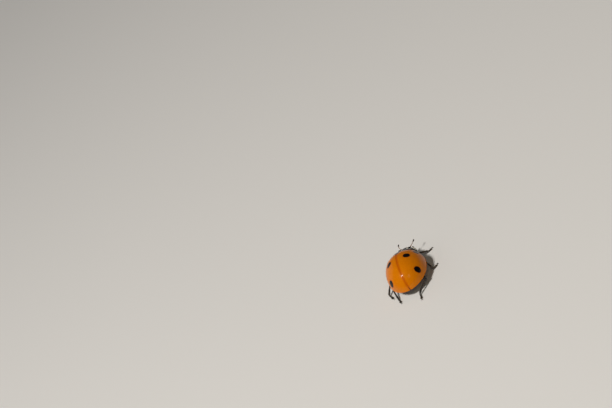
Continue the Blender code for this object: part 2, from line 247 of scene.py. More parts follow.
def base_line(angle, side):
    """Where a wing case begins: it follows the pronotum's hind margin across the dome."""
    place, turn, lift = WAIST_HINGE
    y = np.full_like(angle, SHIELD_REAR)
    for step in range(30):
        dome = points_at(side * half_width(y) * np.sin(angle), y, crest(y) * np.cos(angle))
        unturned = (dome - place) @ swing(turn, lift) + place
        across = np.clip(unturned[:, 0] / shield_half_width(0), -1, 1)
        margin = SHIELD_REAR - TUCK - SHIELD_BOW * across**2
        y = np.clip(y + 0.5 * (margin - unturned[:, 1]), -2.5, -1.5)
    return y


def base_roll(share):
    """How far the front edge of a wing case rolls under; share runs from that edge to mid-length."""
    return BASE_DROP * (1 - math.sqrt(1 - (1 - min(share, BASE_ROLL) / BASE_ROLL) ** 2))


def wing_case_section(y, angles):
    """Points round one cross-section of a left wing case: over, round the margin, under and back.

    y holds one value for each angle; the margin and the folded rim take the last.
    """
    width, height, slim = half_width(y), crest(y), slimness(y)
    notch = np.clip(1 - (DOME_REAR - y) / NOTCH_LENGTH, 0, 1)
    edge = np.minimum(SEAM_GAP + NOTCH_WIDTH * notch**1.5, 0.35 * width)
    rise = MARGIN_RISE * slim
    from_seam = (width - MARGIN * slim - edge) * np.sin(angles)
    z = rise + (height - rise) * np.cos(angles) - SEAM_DEPTH * slim * ridge(from_seam, SEAM_SOFTNESS)
    x = edge + from_seam
    knob = ridge(x - SHOULDER_KNOB[0], 0.34) * ridge(y - SHOULDER_KNOB[1], 0.36)
    outer = points_at(x + 0.030 * knob, y, z + 0.055 * knob)
    rim_x, rim_y, rim_slim, fold = width[-1], y[-1], slim[-1], float(rim_fold(y[-1]))
    rim = [(rim_x + out * rim_slim, rim_y, up * rim_slim) for out, up in MARGIN_TURN]
    for share in FOLD_SHARES:
        out, up = MARGIN_TURN[-1]
        inwards = -out * rim_slim + (fold + out * rim_slim) * share
        rim.append((rim_x - inwards, rim_y, (up + FOLD_RISE * share**1.5) * rim_slim))
    inner_width = np.maximum(width - fold, 0.45 * width)
    inner_height = np.maximum(height - HORN * slim, 0.25 * height)
    inner_x = edge + (inner_width - edge) * np.sin(angles)
    inner = points_at(inner_x, y, np.maximum(inner_height * np.cos(angles), 0.07 * slim))
    return np.concatenate([outer, rim, inner[::-1]])


def wing_case(side):
    """The cross-sections of one wing case from base to tip; side is 1 on the left, -1 on the right."""
    angles = np.radians(np.concatenate([SEAM_ANGLES, np.linspace(5.6, 90, COLUMNS)]))
    base = base_line(angles, side)
    shares = np.concatenate([np.linspace(0, BASE_ROLL, BASE_ROWS), np.linspace(0, 1, FRONT_ROWS)[2:-1]])
    rows = [base * (1 - share) ** CROWDING for share in shares]
    for turn in np.radians(np.linspace(0, LAST_TURN, REAR_ROWS)):
        rows.append(np.full_like(base, DOME_REAR * math.sin(turn)))
    sections = np.array([wing_case_section(y, angles) for y in rows])
    for section, share in zip(sections, shares[:BASE_ROWS]):
        drop = base_roll(share) * np.sqrt(np.abs(np.cos(angles)))
        section[: len(angles), 0] *= 1 - drop / DOME_HALF_WIDTH
        section[: len(angles), 2] *= 1 - drop / DOME_HEIGHT
    sections[..., 0] *= side
    return sections


def ring_mesh(*surfaces):
    """Points and faces of surfaces made of rings: quads between rings, ladders across the ends."""
    points, faces, start = [], [], 0
    for rings in surfaces:
        rings = np.asarray(rings)
        count, columns = rings.shape[:2]
        last = start + (count - 1) * columns
        for ring in range(start, last, columns):
            for i in range(columns):
                j = (i + 1) % columns
                faces.append((ring + i, ring + j, ring + columns + j, ring + columns + i))
        for ring in (start, last):
            for i in range(columns // 2 - 1):
                faces.append((ring + i, ring + i + 1, ring + columns - 2 - i, ring + columns - 1 - i))
            if columns % 2:
                middle = ring + columns // 2
                faces.append((middle - 1, middle, middle + 1))
        points.append(rings.reshape(-1, 3))
        start = last + columns
    return np.concatenate(points), faces


def new_piece(name, shape, material, nodes=(), hinges=(), sharp=50, uv=None):
    """One smooth mesh piece, shaped in the beetle's millimetres, that takes the place of its solids."""
    points, faces = shape
    mesh = bpy.data.meshes.new(name)
    mesh.from_pydata(((turned(points, *hinges) + np.array(body_origin)) * MM).tolist(), [], faces)
    bm = bmesh.new()
    bm.from_mesh(mesh)
    if uv is None:
        bmesh.ops.remove_doubles(bm, verts=bm.verts, dist=1e-9)
    bmesh.ops.recalc_face_normals(bm, faces=bm.faces)
    bm.to_mesh(mesh)
    bm.free()
    mesh.shade_smooth()
    mesh.set_sharp_from_angle(angle=math.radians(sharp))
    if uv is not None:
        corners = np.zeros(len(mesh.loops), dtype=np.int32)
        mesh.loops.foreach_get("vertex_index", corners)
        layer = mesh.uv_layers.new(name="OFBake")
        layer.data.foreach_set("uv", np.asarray(uv, dtype=np.float32)[corners].ravel())
    mesh.materials.append(material)
    piece = new_object(name, mesh)
    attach(piece, "root")
    if nodes:
        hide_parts(*nodes)


def number_math(operation, *values):
    """Does sums with numbers in a shader."""
    return node("ShaderNodeMath", dict(enumerate(values)), operation=operation).outputs[0]


def vector_math(operation, *values):
    """Does sums with places in a shader."""
    return node("ShaderNodeVectorMath", dict(enumerate(values)), operation=operation).outputs[0]


def noise(here, scale, detail, roughness=0.5):
    """Soft clouds over the surface; scale is about how many there are to a millimetre."""
    values = {"Vector": here, "Scale": scale, "Detail": detail, "Roughness": roughness}
    return node("ShaderNodeTexNoise", values).outputs["Fac"]


def ramp(value, low, high, at_low, at_high, kind="SMOOTHSTEP"):
    """Turns a value from low to high into one from at_low to at_high."""
    values = dict(enumerate((value, low, high, at_low, at_high)))
    return node("ShaderNodeMapRange", values, interpolation_type=kind).outputs[0]


def mix_colour(share, below, above):
    """Lays one colour over another."""
    return node("ShaderNodeMix", {0: share, 6: below, 7: above}, data_type="RGBA").outputs[2]


def scaled(value, gain, base):
    """The value times gain, plus base."""
    return number_math("MULTIPLY_ADD", value, gain, base)


def bumped(height, strength, distance):
    """The normals of a surface with this relief; distance is in metres."""
    values = {"Height": height, "Strength": strength, "Distance": distance}
    return node("ShaderNodeBump", values).outputs["Normal"]


def shader_nodes(name, hinges=()):
    """A new material with its shader and the beetle's millimetres as coordinates.

    Where a piece is turned at hinges, the coordinates are those before it was turned.
    """
    material = bpy.data.materials.new(name)
    material.use_nodes = True
    tree = material.node_tree
    place = tree.nodes.new("ShaderNodeTexCoord").outputs["Object"]
    here = vector_math("MULTIPLY_ADD", place, (1 / MM,) * 3, -body_origin)
    for hinge, turn, lift in reversed(hinges):
        values = {"Vector": here, "Location": hinge, "Rotation": (-lift, 0, -turn)}
        undone = node("ShaderNodeMapping", values, vector_type="TEXTURE").outputs[0]
        here = vector_math("ADD", undone, hinge)
    return material, tree.nodes["Principled BSDF"], here


def split(here):
    """The coordinates one by one."""
    return node("ShaderNodeSeparateXYZ", {0: here}).outputs


def fold_sides(here):
    """Coordinates with the right side laid on the left."""
    x, y, z = split(here)
    return node("ShaderNodeCombineXYZ", {0: number_math("ABSOLUTE", x), 1: y, 2: z}).outputs[0]


def shader_group(name, inputs, outputs):
    """An empty shader group; an input's first value tells whether it is a vector or a number."""
    tree = bpy.data.node_groups.new(name, "ShaderNodeTree")
    for socket, value in inputs.items():
        kind = "NodeSocketVector" if isinstance(value, tuple) else "NodeSocketFloat"
        tree.interface.new_socket(socket, in_out="INPUT", socket_type=kind).default_value = value
    for socket in outputs:
        tree.interface.new_socket(socket, in_out="OUTPUT", socket_type="NodeSocketFloat")
    return tree, tree.nodes.new("NodeGroupInput").outputs, tree.nodes.new("NodeGroupOutput")


# A patch of pigment: everything nearer than its half-sizes to a point, with a slightly wavy edge.
patch_inputs = {
    "Position": (0, 0, 0), "Centre": (0, 0, 0), "Half Sizes": (1, 1, 1), "Softness": 0.05, "Waviness": 0.1,
}
pigment, given, result = shader_group("pigment_patch", patch_inputs, ["Mask"])
away = vector_math("SUBTRACT", given["Position"], given["Centre"])
shares = vector_math("DIVIDE", away, given["Half Sizes"])
reach = node("ShaderNodeVectorMath", {0: shares}, operation="LENGTH").outputs["Value"]
waves = number_math("SUBTRACT", noise(given["Position"], 4.5, 2.0), 0.5)
wavy = scaled(waves, given["Waviness"], reach)
soft_from = scaled(given["Softness"], -1.0, 1.0)
soft_to = scaled(given["Softness"], 1.0, 1.0)
fill(result, {"Mask": ramp(wavy, soft_from, soft_to, 1.0, 0.0)})

# Punctures: the fine pits all over a beetle's horn, each at its own place, and a faint unevenness.
pit_inputs = {"Position": (0, 0, 0), "Pits per mm": 12.0, "Pit Share": 0.25}
pitting, given, result = shader_group("pitted_horn", pit_inputs, ["Height", "Pits"])
cell_values = {"Vector": given["Position"], "Scale": given["Pits per mm"], "Randomness": 0.75}
cells = node("ShaderNodeTexVoronoi", cell_values).outputs["Distance"]
pit = ramp(cells, 0.0, given["Pit Share"], 1.0, 0.0)
sunk = scaled(pit, -0.6, 1.0)
uneven = noise(given["Position"], 5.0, 3.0)
fill(result, {"Height": scaled(uneven, 0.9, sunk), "Pits": pit})


def patch(here, centre, half_sizes, softness, waviness):
    """The mask of one patch of pigment."""
    values = dict(zip(patch_inputs, (here, centre, half_sizes, softness, waviness)))
    return node("ShaderNodeGroup", values, node_tree=pigment).outputs["Mask"]


def pitted(here, per_mm, share, strength, distance):
    """The mask of a horn's pits, and the normals of its relief with them."""
    values = dict(zip(pit_inputs, (here, per_mm, share)))
    made = node("ShaderNodeGroup", values, node_tree=pitting).outputs
    return made["Pits"], bumped(made["Height"], strength, distance)


SPOTS = (  # centre, half-sizes and waviness; the last is shared by both wing cases
    (on_dome(1.254, -0.091), (0.42, 0.39, 0.55), 0.20),
    (on_dome(1.887, 1.924), (0.42, 0.38, 0.52), 0.22),
    (on_dome(2.16, -1.05), (0.38, 0.31, 0.42), 0.20),
    (on_dome(0.0, -1.62), (0.40, 0.50, 0.50), 0.25),
)

orange, shader, here = shader_nodes("orange_horn")
folded = fold_sides(here)
beside, above_rim = split(folded)["X"], split(here)["Z"]
specks = node("ShaderNodeTexVoronoi", {"Vector": here, "Scale": 9.0, "Randomness": 1.0})
speck = ramp(specks.outputs["Distance"], 0.0, 0.6, 0.30, 0.0, kind="LINEAR")
mottle = noise(here, 2.2, 4.0, 0.6)
colour = mix_colour(mottle, (0.59, 0.152, 0.0, 1), (0.72, 0.208, 0.0, 1))
colour = mix_colour(speck, colour, (0.80, 0.25, 0.0, 1))
# Darker red towards the seam: the seam's own dark line, deepened with painted shade in place of the shading
# of its shallow groove.
colour = mix_colour(ramp(beside, 0.0, 0.30, 0.60, 0.0), colour, (0.45, 0.055, 0.0, 1))
colour = mix_colour(ramp(above_rim, 0.05, 0.75, 0.35, 0.0), colour, (0.78, 0.21, 0.0, 1))
pale = patch(folded, on_dome(0.42, -2.13), (0.34, 0.17, 0.26), 0.25, 0.3)
colour = mix_colour(pale, colour, (0.80, 0.66, 0.42, 1))
spotted = 0.0
for centre, sizes, waviness in SPOTS:
    halo = patch(folded, centre, [1.25 * size for size in sizes], 0.22, waviness)
    colour = mix_colour(number_math("MULTIPLY", halo, 0.35), colour, (0.50, 0.08, 0.0, 1))
    spotted = number_math("MAXIMUM", spotted, patch(folded, centre, sizes, 0.05, waviness))
pits, normal = pitted(here, 13.0, 0.30, 0.35, 0.000012)
fill(shader, {
    "Base Color": mix_colour(spotted, colour, (0.0025, 0.0025, 0.0035, 1)),
    "Roughness": scaled(pits, 0.25, 0.30),
    "Normal": normal,
    "Specular IOR Level": 0.10,
    "Specular Tint": (1.0, 0.55, 0.25, 1),
    "Coat Weight": 0.22,
    "Coat Roughness": 0.07,
})

for side_name, side in SIDES:
    shape = ring_mesh(wing_case(side))
    new_piece(f"wing_case_{side_name}", shape, orange, [f"elytron_{side_name}"])


# ---- Scutellum ----
# A small black triangle of horn on the back, wedged between the bases of the wing cases. Its rear
# point marks where their seam begins.

SCUTELLUM_FRONT, SCUTELLUM_LENGTH, SCUTELLUM_HALF_WIDTH = -2.07, 0.40, 0.21
SCUTELLUM_HORN, SCUTELLUM_RISE, SCUTELLUM_ARCH = 0.12, 0.008, 0.014
FRONT_SHARE, FRONT_REACH, FRONT_DROP = 0.10, 0.02, 0.085  # how its front slips under the pronotum
DARKEST_HORN, LIGHTEST_HORN = (0.0045, 0.0040, 0.0045, 1), (0.011, 0.0095, 0.009, 1)

black, shader, here = shader_nodes("black_horn")
pits, normal = pitted(here, 17.0, 0.26, 0.40, 0.000010)
fill(shader, {
    "Base Color": mix_colour(noise(here, 3.0, 3.0), DARKEST_HORN, LIGHTEST_HORN),
    "Roughness": scaled(pits, 0.22, 0.26),
    "Normal": normal,
    "Specular IOR Level": 0.14,
    "Coat Weight": 0.16,
    "Coat Roughness": 0.12,
})

plate = []
across = np.linspace(-1, 1, 21)
front_shares = np.linspace(-FRONT_SHARE, 0, 9)
for share in np.concatenate([front_shares, np.linspace(0.03, 0.3, 9), np.linspace(0.36, 0.97, 10)]):
    x = SCUTELLUM_HALF_WIDTH * (1 - max(share, 0)) ** 0.8 * across
    base = base_line(np.arcsin(np.abs(x) / DOME_HALF_WIDTH), np.sign(x))
    y = SCUTELLUM_FRONT + SCUTELLUM_LENGTH * share
    if share <= 0:
        front = np.minimum(base, SCUTELLUM_FRONT) - FRONT_REACH
        y = SCUTELLUM_FRONT + (SCUTELLUM_FRONT - front) * share / FRONT_SHARE
    along = np.clip(1 - (y / base) ** (1 / CROWDING), 0, None)
    drop = np.minimum(FRONT_DROP, [base_roll(place) for place in along])
    groove = 0.010 * ridge(np.abs(across) - 0.84, 0.06)
    z = crest(y) * (np.sqrt(1 - (x / half_width(y)) ** 2) - drop / DOME_HEIGHT)
    top = points_at(x, y, z + SCUTELLUM_RISE + SCUTELLUM_ARCH * (1 - across**4) - groove)
    plate.append(np.concatenate([top, (top - (0, 0, SCUTELLUM_HORN))[::-1]]))
new_piece("scutellum_plate", ring_mesh(plate), black, ["scutellum"])


# ---- Pronotum ----
# The black shield of horn over the first segment of the thorax. It is arched like the wing cases,
# has a fine raised edge, and is cut away in front for the head, with a cream patch at each corner.
# Its sides fold under to meet the prosternum.

SHIELD_LENGTH, SHIELD_HORN, SHIELD_EDGE, EDGE_ROUND = 1.42, 0.09, 0.15, 0.035
SHIELD_REAR_HEIGHT, SHIELD_DROP, SHIELD_ROUNDNESS = 1.84, 1.22, 1.5
SHIELD_TURN = ((0.020, 0.11), (0.006, 0.075), (-0.010, 0.058))  # outwards and up, round the edge
SHIELD_FOLD = ((0.14, 0.050), (0.35, 0.055), (0.6, 0.06), (0.85, 0.06), (1.0, 0.07))  # share and up
OVER, UNDER = 77, 61  # columns over the shield's back and beneath its arch

shield, shader, here = shader_nodes("shield_horn", [WAIST_HINGE])
folded = fold_sides(here)
corner = patch(folded, (1.46, -3.62, 0.20), (0.62, 0.72, 0.86), 0.025, 0.07)
cloud = noise(here, 3.0, 3.0)
dark = mix_colour(cloud, DARKEST_HORN, LIGHTEST_HORN)
cream = mix_colour(cloud, (0.66, 0.56, 0.38, 1), (0.86, 0.80, 0.62, 1))
pits, normal = pitted(here, 17.0, 0.26, 0.40, 0.000010)
fill(shader, {
    "Base Color": mix_colour(corner, dark, cream),
    "Roughness": scaled(pits, 0.22, 0.24),
    "Normal": normal,
    "Specular IOR Level": 0.14,
    "Coat Weight": 0.16,
    "Coat Roughness": 0.10,
})


def shield_ring(share, inset):
    """One ring of the shield: over its back, round an edge, under, and back beneath the arch."""
    angles = np.radians(np.linspace(-90, 90, OVER))
    width = float(shield_half_width(share))
    height = SHIELD_REAR_HEIGHT - SHIELD_DROP * share**SHIELD_ROUNDNESS
    fold = 0.55 - 0.42 * share
    across = np.sin(angles)
    bead = ridge(1 - np.abs(across), 0.012)
    gutter = ridge(1 - np.abs(across) - 0.035, 0.02)
    x = (width - inset) * across + np.sign(across) * (0.022 * bead - 0.012 * gutter)
    z = SHIELD_EDGE + (height - inset - SHIELD_EDGE) * np.cos(angles) + 0.010 * bead - 0.012 * gutter
    turn = [*SHIELD_TURN, *((-part * fold, up) for part, up in SHIELD_FOLD)]
    turn = np.array(turn) + (width - inset, 0.5 * inset)
    arch = np.radians(np.linspace(88, -88, UNDER))
    arch_x = (width - inset - fold) * np.sin(arch)
    arch_z = np.maximum((height - SHIELD_HORN - inset) * np.cos(arch), 0.08)
    x = np.concatenate([x, turn[:, 0], arch_x, -turn[::-1, 0]])
    z = np.concatenate([z, turn[:, 1], arch_z, turn[::-1, 1]])
    return points_at(x, SHIELD_REAR - SHIELD_LENGTH * share - SHIELD_BOW * (x / width) ** 2, z)


edge_turn = np.radians(np.linspace(0, 80, 6))
edge_rows = list(zip(EDGE_ROUND * (1 - np.sin(edge_turn)), EDGE_ROUND * (1 - np.cos(edge_turn))))
shield_rows = edge_rows[::-1] + [(share, 0.0) for share in np.linspace(0.04, 0.96, 34)]
shield_rows += [(1 - share, inset) for share, inset in edge_rows]
shape = ring_mesh([shield_ring(share, inset) for share, inset in shield_rows])
new_piece("pronotum_shield", shape, shield, ["pronotum"], [WAIST_HINGE])


# ---- Head ----
# A flattened black capsule of horn, sunk in the pronotum up to its eyes and tipped face down, with
# a pale mark inside each eye. The brow runs on into a short square lip over the mouth, and a spur
# of horn reaches across each eye in front of the feeler's pit.

NECK_HINGE = ((0.0, -3.20, 0.40), math.radians(5), math.radians(8))
FACE_HINGES = [NECK_HINGE, WAIST_HINGE]
HEAD_CENTRE = np.array((0.0, -3.62, 0.12))
HEAD_WIDTH, HEAD_LENGTH, HEAD_DEPTH = 0.80, 0.66, 0.44  # half of each
HEAD_TILT = math.radians(34)
FACE_OUT = (0.0, -math.sin(HEAD_TILT), math.cos(HEAD_TILT))
FACE_AXES = np.array(((1.0, 0.0, 0.0), (0.0, -math.cos(HEAD_TILT), -math.sin(HEAD_TILT)), FACE_OUT))


def on_head(points):
    """From the head's own directions (left, down the face, out of the face) to the beetle's."""
    return HEAD_CENTRE + np.asarray(points, dtype=float) @ FACE_AXES


def skull_point(turn, around):
    """The head capsule, from the neck at turn 0 to the mouth at pi; around is 90 degrees at the brow."""
    down = -HEAD_LENGTH * np.cos(turn)
    left = HEAD_WIDTH * np.sin(turn) * np.cos(around)
    beside = np.abs(left)
    squareness = 1 - 0.38 * smooth_step(0.0, 0.5, down)
    out = HEAD_DEPTH * np.sin(turn) ** squareness * np.sin(around)
    hollow = ridge(left, 0.30) * ridge(down - 0.12, 0.26)
    lip_groove = ridge(down - 0.37 - 0.10 * left**2, 0.022) * smooth_step(0.50, 0.40, beside)
    feeler_pit = ridge(beside - 0.47, 0.075) * ridge(down - 0.36, 0.075)
    eye_rim = ridge(np.hypot((beside - 0.70) / 0.27, (down + 0.01) / 0.31) - 1.02, 0.07)
    face_relief = 0.018 * eye_rim - 0.025 * hollow - 0.012 * lip_groove - 0.05 * feeler_pit
    throat_seams = ridge(beside - 0.20 - 0.10 * down, 0.020)
    throat_seams += ridge(down - 0.22, 0.022) * smooth_step(0.56, 0.44, beside)
    brow, throat = np.clip(np.sin(around), 0, 1), np.clip(-np.sin(around), 0, 1)
    out += brow**0.5 * face_relief + throat**0.5 * 0.022 * throat_seams
    return points_at(left, down, out)


face, shader, here = shader_nodes("face_horn", FACE_HINGES)
folded = fold_sides(here)
eye_mark = patch(folded, on_head((0.43, -0.02, 0.36)), (0.105, 0.17, 0.17), 0.10, 0.20)
lip_mark = patch(folded, on_head((0.0, 0.62, 0.16)), (0.36, 0.06, 0.07), 0.35, 0.3)
pits, normal = pitted(here, 22.0, 0.28, 0.45, 0.000009)
colour = mix_colour(pits, (0.009, 0.008, 0.008, 1), (0.004, 0.0035, 0.004, 1))
colour = mix_colour(lip_mark, colour, (0.055, 0.026, 0.012, 1))
fill(shader, {
    "Base Color": mix_colour(eye_mark, colour, (0.82, 0.76, 0.56, 1)),
    "Roughness": scaled(pits, 0.25, 0.28),
    "Normal": normal,
    "Specular IOR Level": 0.14,
    "Coat Weight": 0.16,
    "Coat Roughness": 0.15,
})

turns = np.radians(np.concatenate([np.linspace(3, 60, 14)[:-1], np.linspace(60, 178, 84)]))
around = np.radians(np.linspace(0, 360, 129)[:-1])
skull = on_head(skull_point(turns[:, None], around[None, :]))


def eye_spur(side):
    """The thin spur of horn that reaches back across the front of the eye."""
    rings = []
    circle = np.linspace(0, math.tau, 13)[:-1]
    for share in np.linspace(0, 1, 12):
        centre = (0.56 + 0.20 * share, 0.30 - 0.10 * share, 0.13 + 0.01 * share)
        reach = 0.10 * math.sqrt(max(0.02, 1 - share**2.2))
        ring = points_at(0, reach * np.cos(circle), 0.5 * reach * np.sin(circle))
        rings.append((centre + ring) * (side, 1, 1))
    return on_head(rings)


shape = ring_mesh(skull, eye_spur(1), eye_spur(-1))
new_piece("head_capsule", shape, face, ["head"], FACE_HINGES)


# ---- Eyes ----
# Large compound eyes that bulge from the sides of the head: black and glossy, and paved with fine
# hexagonal lenses, each a little higher in its middle than along its edges.

EYE_CENTRE = np.array((0.70, -3.70, 0.26))
EYE_SIZE = (0.25, 0.27, 0.32)
LENS_RISE = 0.0065 / 0.28  # as a share of the eye's own half-size

lens, shader, here = shader_nodes("eye_lenses", FACE_HINGES)
cloud = noise(here, 9.0, 3.0)
fill(shader, {
    "Base Color": mix_colour(cloud, (0.002, 0.002, 0.003, 1), (0.014, 0.010, 0.011, 1)),
    "Roughness": scaled(cloud, 0.12, 0.14),
    "Specular IOR Level": 0.4,
    "Coat Weight": 0.2,
    "Coat Roughness": 0.08,
})

lens_middles, eye_ball = bmesh.new(), bmesh.new()
bmesh.ops.create_icosphere(lens_middles, subdivisions=5, radius=1)
bmesh.ops.create_icosphere(eye_ball, subdivisions=6, radius=1)
middles = kdtree.KDTree(len(lens_middles.verts))
for vertex in lens_middles.verts:
    middles.insert(vertex.co, vertex.index)
middles.balance()
ball = []
for vertex in eye_ball.verts:
    is_middle = middles.find(vertex.co)[2] < 1e-4
    ball.append(vertex.co * (1 if is_middle else 1 - LENS_RISE))
ball_faces = [[vertex.index for vertex in triangle.verts] for triangle in eye_ball.faces]
for side_name, side in SIDES:
    points = (EYE_CENTRE + np.array(ball) * EYE_SIZE) * (side, 1, 1)
    shape, nodes = (points, ball_faces), [f"eye_{side_name}"]
    new_piece(f"eye_{side_name}_lenses", shape, lens, nodes, FACE_HINGES, sharp=80)


# ---- Mouth ----
# Under the lip hangs a thin brown upper lip fringed with hairs, and beneath it two curved jaws meet
# tip to tip. The jointed palps beside them end in a broad hatchet blade; two small ones hang below.

PALP_JOINTS = (  # on the left: root, end, the half-width at each, and how flat it is
    ((0.30, -4.02, -0.36), (0.44, -4.22, -0.43), 0.050, 0.085, 1.0),
    ((0.44, -4.22, -0.43), (0.52, -4.34, -0.50), 0.065, 0.095, 1.0),
    ((0.52, -4.34, -0.50), (0.64, -4.57, -0.59), 0.060, 0.155, 0.42),
    ((0.09, -3.92, -0.42), (0.13, -4.05, -0.54), 0.038, 0.046, 1.0),
    ((0.13, -4.04, -0.53), (0.17, -4.17, -0.59), 0.030, 0.034, 1.0),
)
JOINT_PLACES = np.array((0, 0.03, 0.10, 0.3, 0.55, 0.8, 0.92, 0.98, 1.0))  # along a joint
JOINT_FULLNESS = np.array((0.35, 0.62, 0.9, 1.0, 1.0, 1.0, 0.93, 0.65, 0.2))
UP = np.array((0.0, 0.0, 1.0))

mouth, shader, here = shader_nodes("mouth_horn", FACE_HINGES)
cloud = noise(here, 8.0, 3.0)
fill(shader, {
    "Base Color": mix_colour(cloud, (0.030, 0.013, 0.006, 1), (0.10, 0.045, 0.018, 1)),
    "Normal": bumped(cloud, 0.3, 0.000012),
    "Roughness": 0.34,
    "Coat Weight": 0.25,
})


def unit(vectors):
    """The same directions, one long."""
    return vectors / np.linalg.norm(vectors, axis=-1, keepdims=True)


def sweep(points, half_widths, half_depths, up=UP, sides=16):
    """Rings of oval section along a line; up sets the direction of their depth."""
    points = np.asarray(points, dtype=float)
    along = unit(np.gradient(points, axis=0))
    across = unit(np.cross(along, up))
    depth = np.cross(across, along)
    circle = np.radians(np.linspace(0, 360, sides + 1)[:-1])
    wide = np.asarray(half_widths)[:, None, None] * np.cos(circle)[None, :, None] * across[:, None, :]
    deep = np.asarray(half_depths)[:, None, None] * np.sin(circle)[None, :, None] * depth[:, None, :]
    return points[:, None, :] + wide + deep


def joint_piece(start, end, start_radius, end_radius, flatness=1.0, sides=16):
    """One segment of a palp, a feeler or a foot: a neck, a widening barrel and a blunt rounded end."""
    start, end = np.asarray(start, dtype=float), np.asarray(end, dtype=float)
    radii = (start_radius + (end_radius - start_radius) * JOINT_PLACES) * JOINT_FULLNESS
    return sweep(start + np.outer(JOINT_PLACES, end - start), radii, radii * flatness, sides=sides)


line = np.linspace(-1, 1, 21)
upper_lip = []
for share in np.linspace(0, 1, 12):
    reach = 0.25 * math.sqrt(1 - 0.93 * share**3.5)
    top = points_at(reach * line, 0.57 + 0.21 * share, 0.17 - 0.13 * share**1.4 - 0.05 * line**2)
    upper_lip.append(np.concatenate([top, (top - (0, 0.012, 0.045))[::-1]]))
upper_lip = on_head(upper_lip)

mouth_parts = [upper_lip]
bend = np.linspace(0, 1, 14)
for side in (1, -1):
    left = side * (0.30 - 0.02 * bend - 0.25 * bend**2.6)
    jaw = on_head(points_at(left, 0.46 + 0.42 * bend**0.9, -0.09 + 0.02 * bend))
    taper = 1 - bend**1.6
    mouth_parts.append(sweep(jaw, 0.11 * taper + 0.014, 0.085 * taper + 0.012, up=FACE_OUT))
    for root, end, *widths in PALP_JOINTS:
        root, end = np.multiply((root, end), (side, 1, 1))
        mouth_parts.append(joint_piece(root, end, *widths))
hairy_palp_joints = mouth_parts[4], mouth_parts[9]  # the left palp's blade, the right palp's middle
chin = on_head(points_at(0, 0.20 + 0.42 * bend, -0.20 - 0.03 * bend))
fullness = np.sqrt(1 - (1.9 * bend - 0.95) ** 2)
mouth_parts.append(sweep(chin, 0.30 * fullness, 0.11 * fullness, up=FACE_OUT, sides=24))
mouth_nodes = ["mouthparts", "palp_left", "palp_right"]
new_piece("mouth_and_palps", ring_mesh(*mouth_parts), mouth, mouth_nodes, FACE_HINGES)


# ---- Antennae ----
# Short brown feelers of eleven joints, darker and broader in the last three, which form a club.
# Each is set in a pit between the eye and the brow's front corner.

FEELER_ROOT = np.array((0.50, -4.05, 0.04))
FEELER_BEND = np.array((1.05, -4.34, 0.24))
FEELER_TIP = np.array((1.12, -5.06, 0.06))
FEELER_JOINTS = (  # length as a share of the feeler's, and the half-width at its root and its end
    (0.17, 0.055, 0.072), (0.10, 0.045, 0.056), (0.11, 0.028, 0.040), (0.08, 0.027, 0.038),
    (0.07, 0.027, 0.038), (0.07, 0.028, 0.040), (0.065, 0.030, 0.042), (0.065, 0.032, 0.048),
    (0.085, 0.045, 0.082), (0.09, 0.060, 0.096), (0.095, 0.078, 0.074),
)
CLUB_FROM = 8  # how many joints come before the club

feeler, shader, here = shader_nodes("feeler_horn", FACE_HINGES)
cloud = noise(here, 12.0, 3.0)
colour = mix_colour(cloud, (0.17, 0.065, 0.018, 1), (0.30, 0.125, 0.035, 1))
club = ramp(split(here)["Y"], -4.62, -4.78, 0.0, 1.0)
fill(shader, {
    "Base Color": mix_colour(club, colour, (0.028, 0.014, 0.008, 1)),
    "Normal": bumped(cloud, 0.3, 0.000010),
    "Roughness": 0.42,
})


def feeler_point(share, side):
    """A point on the feeler's curve, from its root at 0 to its tip at 1."""
    bent = FEELER_ROOT * (1 - share) ** 2 + FEELER_BEND * 2 * share * (1 - share) + FEELER_TIP * share**2
    return bent * (side, 1, 1)


feeler_skins = []
for side_name, side in SIDES:
    joints, reached = [], 0.0
    for length, root_radius, end_radius in FEELER_JOINTS:
        start, end = feeler_point(reached, side), feeler_point(reached + 1.04 * length, side)
        joints.append(joint_piece(start, end, root_radius, end_radius, sides=18))
        reached += length
    shape, nodes = ring_mesh(*joints), [f"antenna_{side_name}"]
    new_piece(f"antenna_{side_name}_joints", shape, feeler, nodes, FACE_HINGES)
    feeler_skins += joints


# ---- Underside ----
# Plates of black horn, from the prosternum between the front legs to the five overlapping rings of
# the abdomen. A pale plate shows on each flank between the front and middle legs.

BELLY_DEPTH, BELLY_LEVEL, BELLY_GAP = 0.40, 0.055, 0.015
ACROSS = np.linspace(-1, 1, 81)  # the columns of the belly's plates
INSIDE = 0.30  # the height of the flat closure hidden in the dome
CORE_FRONT, WAIST, CORE_REAR, RINGS = -2.04, 0.93, 3.22, 5
COLLAR_LENGTH, COLLAR_ROWS = 0.36, 14
BREAST_MIDDLE, BREAST_HALF_LENGTH, BREAST_HALF_WIDTH, BREAST_DEPTH = -2.66, 0.62, 1.36, 0.36
LEGS = {  # hip, knee, ankle and where the foot's tip stands, as in the solids
    "fore_left": ((0.50, -2.62, -0.48), (1.55, -3.28, -0.28), (1.80, -4.32, -0.94), (1.98, -5.16)),
    "fore_right": ((-0.50, -2.62, -0.48), (-1.72, -3.02, -0.28), (-2.70, -3.40, -0.94), (-3.36, -3.92)),
    "mid_left": ((0.75, -0.72, -0.54), (2.76, -0.32, -0.35), (3.38, 0.82, -0.94), (2.85, 1.85)),
    "mid_right": ((-0.75, -0.72, -0.54), (-2.46, -0.66, -0.35), (-3.02, 0.34, -0.94), (-3.66, -0.40)),
    "hind_left": ((0.85, 0.82, -0.54), (2.60, 0.62, -0.40), (2.24, 2.42, -0.94), (1.96, 3.38)),
    "hind_right": ((-0.85, 0.82, -0.54), (-2.13, 2.16, -0.36), (-0.70, 3.58, -0.94), (-0.78, 4.74)),
}

